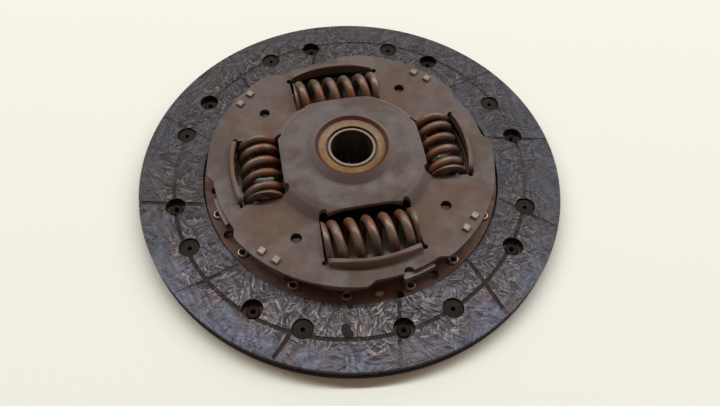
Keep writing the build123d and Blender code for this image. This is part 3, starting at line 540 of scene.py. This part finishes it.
def bush_material():
    """Tan plastic, with a painted shadow along the rim and a painted shade in the recess round the hub."""
    paint = Paint("bush_tan_plastic")
    cloud = paint.noise(5.0, detail=4.0)
    colour = paint.mix(paint.step(cloud, 0.35, 0.65), srgb(104, 74, 30), srgb(132, 100, 44))
    # Along the rim towards +Y and +X the plastic is painted dark amber, a painted shadow of the collar
    toward_shadow = paint.plus(paint.y, paint.times(paint.x, 0.5))
    painted_rim_shadow = paint.step(paint.radius, *BUSH_RIM_SHADOW)
    painted_rim_shadow = paint.times(painted_rim_shadow, paint.step(toward_shadow, *SHADOW_SIDE, 0.15, 1.0))
    colour = paint.mix(painted_rim_shadow, colour, srgb(92, 52, 20))
    # The recess round the hub is painted dark, a painted shade
    colour = paint.over(colour, srgb(70, 46, 26), paint.step(paint.radius, *BUSH_RECESS), 0.85)
    return paint.finish(colour, 0.36, 0.0, paint.bump(paint.noise(1.5), BUSH_RELIEF, 0.5), gloss=0.35)


dress(hub_material(), "hub")
dress(bush_material(), "front_bush", "rear_bush")

# --------------------------------------------------------------------------------------
# Damper springs: real coils, each a piece of its own on the spring pack
# --------------------------------------------------------------------------------------

SPRING_MIDDLE = 13.9  # height of the springs' axes
SPRING_RELIEF = 0.04
HUB_SIDE = (3.0, -4.0)  # from the spring's axis outwards
LOW_SIDE = (1.0, -5.0)  # from the spring's axis upwards
SPRINGS = (  # node, angle, axis radius, share of length kept at the limit
    ("spring_1", 12.9, 45.8, 0.742),
    ("spring_2", 103.9, 44.8, 0.797),
    ("spring_3", 192.9, 45.8, 0.742),
    ("spring_4", 283.9, 44.8, 0.797),
)


def spring_material(name, axis_radius):
    """Bronze-brown wire, orange rust on the hub's side, painted shade underneath."""
    paint = Paint(name)
    small = paint.noise(1.6, detail=5.0, roughness=0.62)
    large = paint.noise(7.0)
    colour = paint.mix(paint.step(large, 0.35, 0.65), srgb(98, 81, 72), srgb(126, 108, 97))
    colour = paint.over(colour, srgb(72, 54, 46), paint.step(small, 0.5, 0.75), 0.5)
    hub_side = paint.step(paint.radius, *[axis_radius + away for away in HUB_SIDE])
    blotch = paint.noise(5.0, detail=4.0, roughness=0.6)
    rust = paint.times(paint.step(blotch, 0.36, 0.5), hub_side)
    tone = paint.mix(paint.noise(0.9), srgb(100, 60, 38), srgb(140, 88, 58))
    colour = paint.over(colour, tone, rust, 0.85)
    # The lower half of each coil is painted darker, a painted shade
    low = paint.step(paint.z, *[SPRING_MIDDLE + above for above in LOW_SIDE])
    colour = paint.over(colour, srgb(74, 55, 50), low, 0.5)
    rough = paint.plus(paint.step(small, 0.3, 0.7, 0.37, 0.47), paint.times(rust, 0.16))
    return paint.finish(colour, rough, 0.42, paint.bump(small, SPRING_RELIEF, 0.6))


def coil_spring(node, angle, axis_radius, keep):
    """The node's own coil as a piece of its own, dressed in its own material, riding on the spring pack."""
    piece = bpy.data.objects.new(node.replace("spring", "coil_spring"), nodes[node].data.copy())
    scene.collection.objects.link(piece)
    piece.data.materials.clear()
    piece.data.materials.append(spring_material(node + "_bronzed_steel", axis_radius))
    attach(piece, "spring_pack")
    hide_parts(node)
    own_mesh(piece)


for spring in SPRINGS:
    coil_spring(*spring)

# --------------------------------------------------------------------------------------
# Floor, light and camera
# --------------------------------------------------------------------------------------

FLOOR_HALF = 6.0
FLOOR_Z = -0.00005  # just under the disc, so that the two faces don't meet
FLOOR_COLOUR = srgb(244, 248, 243)
WORLD_COLOUR = srgb(255, 216, 182)
WORLD_STRENGTH = 0.215

CAMERA_PLACE = (0.005317, -0.201674, 0.286546)
CAMERA_ELEVATION = math.radians(56.9328)
CAMERA_ROLL = math.radians(2.78357)
CAMERA_LENS = 33.242
CAMERA_SENSOR = 36.0


def lay_floor():
    mesh = bpy.data.meshes.new("floor")
    far = FLOOR_HALF
    mesh.from_pydata([(-far, -far, 0), (far, -far, 0), (far, far, 0), (-far, far, 0)], [], [(0, 1, 2, 3)])
    floor = bpy.data.objects.new("floor", mesh)
    scene.collection.objects.link(floor)
    floor.location = (0, 0, FLOOR_Z)
    mesh.materials.append(Paint("floor_paper").finish(FLOOR_COLOUR, 0.9, gloss=0.0))


def light_world():
    world = bpy.data.worlds.new("studio")
    scene.world = world
    world.use_nodes = True
    background = world.node_tree.nodes["Background"]
    background.inputs["Color"].default_value = WORLD_COLOUR
    background.inputs["Strength"].default_value = WORLD_STRENGTH


def softbox(name, azimuth, elevation, distance, width, height, slide, power, colour):
    """A rectangular light facing the disc from an azimuth (0 = +X), slid along its own width."""
    data = bpy.data.lights.new(name, "AREA")
    data.shape = "RECTANGLE"
    data.size = width
    data.size_y = height
    data.energy = power
    data.color = colour
    lamp = bpy.data.objects.new(name, data)
    scene.collection.objects.link(lamp)
    around, above = math.radians(azimuth), math.radians(elevation)
    level = math.cos(above)
    place = Vector((math.cos(around) * level, math.sin(around) * level, math.sin(above)))
    sideways = Vector((math.sin(around), -math.cos(around), 0))
    lamp.location = place * distance + sideways * slide
    lamp.rotation_euler = place.to_track_quat("Z", "Y").to_euler()


def aim_camera():
    """A camera that looks along +Y and down, rolled a little."""
    data = bpy.data.cameras.new("camera")
    data.sensor_width = CAMERA_SENSOR
    data.lens = CAMERA_LENS
    data.clip_start = 0.01
    camera = bpy.data.objects.new("camera", data)
    scene.collection.objects.link(camera)
    back = Vector((0, -math.cos(CAMERA_ELEVATION), math.sin(CAMERA_ELEVATION)))
    level = Vector((1, 0, 0))
    upright = back.cross(level)
    across = math.cos(CAMERA_ROLL) * level + math.sin(CAMERA_ROLL) * upright
    above = -math.sin(CAMERA_ROLL) * level + math.cos(CAMERA_ROLL) * upright
    turn = Matrix((across, above, back)).transposed().to_4x4()
    camera.matrix_world = Matrix.Translation(CAMERA_PLACE) @ turn
    scene.camera = camera


lay_floor()
light_world()
softbox("tube", azimuth=96, elevation=62, distance=3.4, width=12.0, height=0.28, slide=1.4, power=230.0,
        colour=(0.985, 0.99, 0.96))
softbox("low_back", azimuth=80, elevation=30, distance=3.8, width=5.2, height=1.8, slide=0.4, power=24.0,
        colour=(0.97, 0.985, 1.0))
aim_camera()
